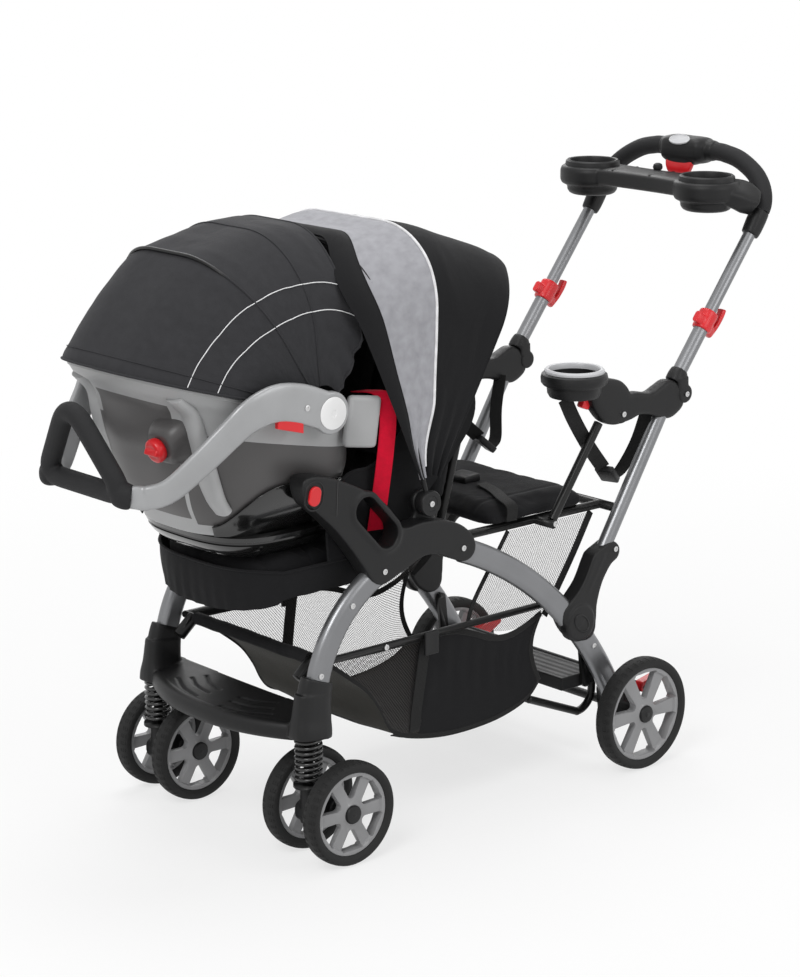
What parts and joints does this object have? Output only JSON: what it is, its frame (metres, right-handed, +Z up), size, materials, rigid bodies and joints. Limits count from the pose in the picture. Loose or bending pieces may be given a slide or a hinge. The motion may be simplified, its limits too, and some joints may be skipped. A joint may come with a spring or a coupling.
{
  "type": "tandem stroller",
  "caption": "Tandem stroller with a folding handle, jump seat, standing platform, canopy, storage basket and a lift-off infant carrier.",
  "frame": {"origin": "on the floor, under the middle of the whole object", "axes": "+Z up, -Y to the front of the stroller, +X to the child's left"},
  "size_m": [0.538, 1.4158, 1.0607],
  "materials": {
    "silver_paint": "satin silver paint",
    "black_paint": "satin black paint",
    "black_plastic": "fine grained black",
    "gloss_black": "polished black",
    "grey_plastic": "silver grey moulding",
    "red_plastic": "bright red moulding",
    "black_fabric": "woven black polyester",
    "charcoal_fabric": "woven charcoal polyester",
    "canopy_fabric": "grey and black woven panels with white piping",
    "net_fabric": "black tape with open net",
    "foam": "matt foam grip",
    "wheel": "grey rim with a black tread",
    "spring_steel": "black spring wire",
    "screw_steel": "zinc plated"
  },
  "bodies": {
    "chassis": {"rear_leg_left": "silver_paint", "rear_leg_right": "silver_paint", "front_leg_left": "silver_paint", "front_leg_right": "silver_paint", "side_hub_left": "black_plastic", "side_hub_right": "black_plastic", "lower_tube_left": "silver_paint", "lower_tube_right": "silver_paint", "rear_link_left": "black_plastic", "rear_link_right": "black_plastic", "armrest_left": "black_plastic", "armrest_right": "black_plastic", "seat_strut_left": "black_paint", "seat_strut_right": "black_paint", "seat_frame": "black_paint", "jump_seat": "black_fabric", "front_seat": "black_fabric", "seat_back": "black_fabric", "basket": "net_fabric", "basket_frame": "black_paint", "footrest": "black_plastic", "rear_axle": "black_plastic", "platform": "black_plastic", "platform_frame": "black_paint", "fasteners": "screw_steel", "spring_left": "spring_steel", "spring_right": "spring_steel", "canopy_fabric": "canopy_fabric"},
    "strut_left": {"strut_left": "black_paint"},
    "caster_left": {"caster_fork_left": "black_plastic"},
    "rear_wheel_left": {"rear_wheel_left": "wheel"},
    "brake_left": {"brake_pedal_left": "red_plastic"},
    "collar_left": {"latch_collar_left": "red_plastic"},
    "button_left": {"hub_button_left": "red_plastic"},
    "strut_right": {"strut_right": "black_paint"},
    "caster_right": {"caster_fork_right": "black_plastic"},
    "rear_wheel_right": {"rear_wheel_right": "wheel"},
    "brake_right": {"brake_pedal_right": "red_plastic"},
    "collar_right": {"latch_collar_right": "red_plastic"},
    "button_right": {"hub_button_right": "red_plastic"},
    "front_wheel_left_outer": {"front_wheel_left_outer": "wheel"},
    "front_wheel_left_inner": {"front_wheel_left_inner": "wheel"},
    "front_wheel_right_inner": {"front_wheel_right_inner": "wheel"},
    "front_wheel_right_outer": {"front_wheel_right_outer": "wheel"},
    "handle": {"upper_tube_left": "silver_paint", "upper_tube_right": "silver_paint", "grip_bar": "foam", "handle_hub": "black_plastic", "console": "black_plastic"},
    "trigger": {"fold_trigger": "red_plastic"},
    "canopy_bow": {"canopy_front_bow": "black_paint"},
    "carrier": {"carrier_shell": "grey_plastic", "carrier_base": "gloss_black", "carrier_pad": "black_fabric", "carrier_canopy": "charcoal_fabric"},
    "carrier_handle": {"carrier_handle": "grey_plastic", "carrier_grip": "foam"},
    "carrier_bow": {"carrier_canopy_bow": "black_paint"},
    "carrier_catches": {"carrier_handle_catches": "red_plastic"},
    "carrier_knob": {"carrier_release_knob": "red_plastic"}
  },
  "joints": [
    {"name": "strut_left_travel", "type": "slide", "parent": "chassis", "child": "strut_left", "axis": [0, 0, 1], "range_m": [0, 0.012], "stiffness_N_per_m": 6000, "springref_m": -0.02, "deforming": ["spring_left"]},
    {"name": "caster_left_swivel", "type": "hinge", "parent": "strut_left", "child": "caster_left", "pos_m": [0.2, -0.383, 0.086], "axis": [0, 0, 1], "continuous": true},
    {"name": "strut_right_travel", "type": "slide", "parent": "chassis", "child": "strut_right", "axis": [0, 0, 1], "range_m": [0, 0.012], "stiffness_N_per_m": 6000, "springref_m": -0.02, "deforming": ["spring_right"]},
    {"name": "caster_right_swivel", "type": "hinge", "parent": "strut_right", "child": "caster_right", "pos_m": [-0.2, -0.383, 0.086], "axis": [0, 0, 1], "continuous": true},
    {"name": "front_wheel_left_outer_spin", "type": "hinge", "parent": "caster_left", "child": "front_wheel_left_outer", "pos_m": [0.251, -0.343, 0.086], "axis": [1, 0, 0], "continuous": true},
    {"name": "front_wheel_left_inner_spin", "type": "hinge", "parent": "caster_left", "child": "front_wheel_left_inner", "pos_m": [0.149, -0.343, 0.086], "axis": [1, 0, 0], "continuous": true},
    {"name": "front_wheel_right_inner_spin", "type": "hinge", "parent": "caster_right", "child": "front_wheel_right_inner", "pos_m": [-0.149, -0.343, 0.086], "axis": [1, 0, 0], "continuous": true},
    {"name": "front_wheel_right_outer_spin", "type": "hinge", "parent": "caster_right", "child": "front_wheel_right_outer", "pos_m": [-0.251, -0.343, 0.086], "axis": [1, 0, 0], "continuous": true},
    {"name": "rear_wheel_left_spin", "type": "hinge", "parent": "chassis", "child": "rear_wheel_left", "pos_m": [0.246, 0.334, 0.1], "axis": [1, 0, 0], "continuous": true},
    {"name": "brake_left_pivot", "type": "hinge", "parent": "chassis", "child": "brake_left", "pos_m": [0.2135, 0.368, 0.132], "axis": [-1, 0, 0], "range_deg": [0, 20]},
    {"name": "rear_wheel_right_spin", "type": "hinge", "parent": "chassis", "child": "rear_wheel_right", "pos_m": [-0.246, 0.334, 0.1], "axis": [1, 0, 0], "continuous": true},
    {"name": "brake_right_pivot", "type": "hinge", "parent": "chassis", "child": "brake_right", "pos_m": [-0.2135, 0.368, 0.132], "axis": [-1, 0, 0], "range_deg": [0, 20]},
    {"name": "handle_fold", "type": "hinge", "parent": "chassis", "child": "handle", "pos_m": [0, 0.46371, 0.6473], "axis": [-1, 0, 0], "range_deg": [0, 140]},
    {"name": "trigger_squeeze", "type": "slide", "parent": "handle", "child": "trigger", "axis": [0, 0, 1], "range_m": [0, 0.008], "stiffness_N_per_m": 300, "springref_m": -0.004},
    {"name": "collar_left_lift", "type": "slide", "parent": "handle", "child": "collar_left", "axis": [0, 0.6115, 0.7912], "range_m": [0, 0.015], "stiffness_N_per_m": 200, "springref_m": -0.005},
    {"name": "button_left_press", "type": "slide", "parent": "chassis", "child": "button_left", "axis": [-1, 0, 0], "range_m": [0, 0.003], "stiffness_N_per_m": 400, "springref_m": -0.002},
    {"name": "collar_right_lift", "type": "slide", "parent": "handle", "child": "collar_right", "axis": [0, 0.6115, 0.7912], "range_m": [0, 0.015], "stiffness_N_per_m": 200, "springref_m": -0.005},
    {"name": "button_right_press", "type": "slide", "parent": "chassis", "child": "button_right", "axis": [1, 0, 0], "range_m": [0, 0.003], "stiffness_N_per_m": 400, "springref_m": -0.002},
    {"name": "canopy_fold", "type": "hinge", "parent": "chassis", "child": "canopy_bow", "pos_m": [0, -0.12906, 0.55008], "axis": [-1, 0, 0], "range_deg": [0, 46], "deforming": ["canopy_fabric"]},
    {"name": "carrier_lift", "type": "slide", "parent": "chassis", "child": "carrier", "axis": [0, -0.5, 0.866], "range_m": [0, 0.15]},
    {"name": "carrier_handle_turn", "type": "hinge", "parent": "carrier", "child": "carrier_handle", "pos_m": [0, -0.34, 0.732], "axis": [1, 0, 0], "range_deg": [-4, 25]},
    {"name": "carrier_catches_squeeze", "type": "slide", "parent": "carrier_handle", "child": "carrier_catches", "axis": [0, 0, 1], "range_m": [0, 0.004], "stiffness_N_per_m": 300, "springref_m": -0.004},
    {"name": "carrier_canopy_fold", "type": "hinge", "parent": "carrier", "child": "carrier_bow", "pos_m": [0, -0.34, 0.732], "axis": [-1, 0, 0], "range_deg": [0, 40], "deforming": ["carrier_canopy"]},
    {"name": "carrier_knob_pull", "type": "slide", "parent": "carrier", "child": "carrier_knob", "axis": [0, -0.9511, -0.309], "range_m": [0, 0.003], "stiffness_N_per_m": 300, "springref_m": -0.004}
  ]
}
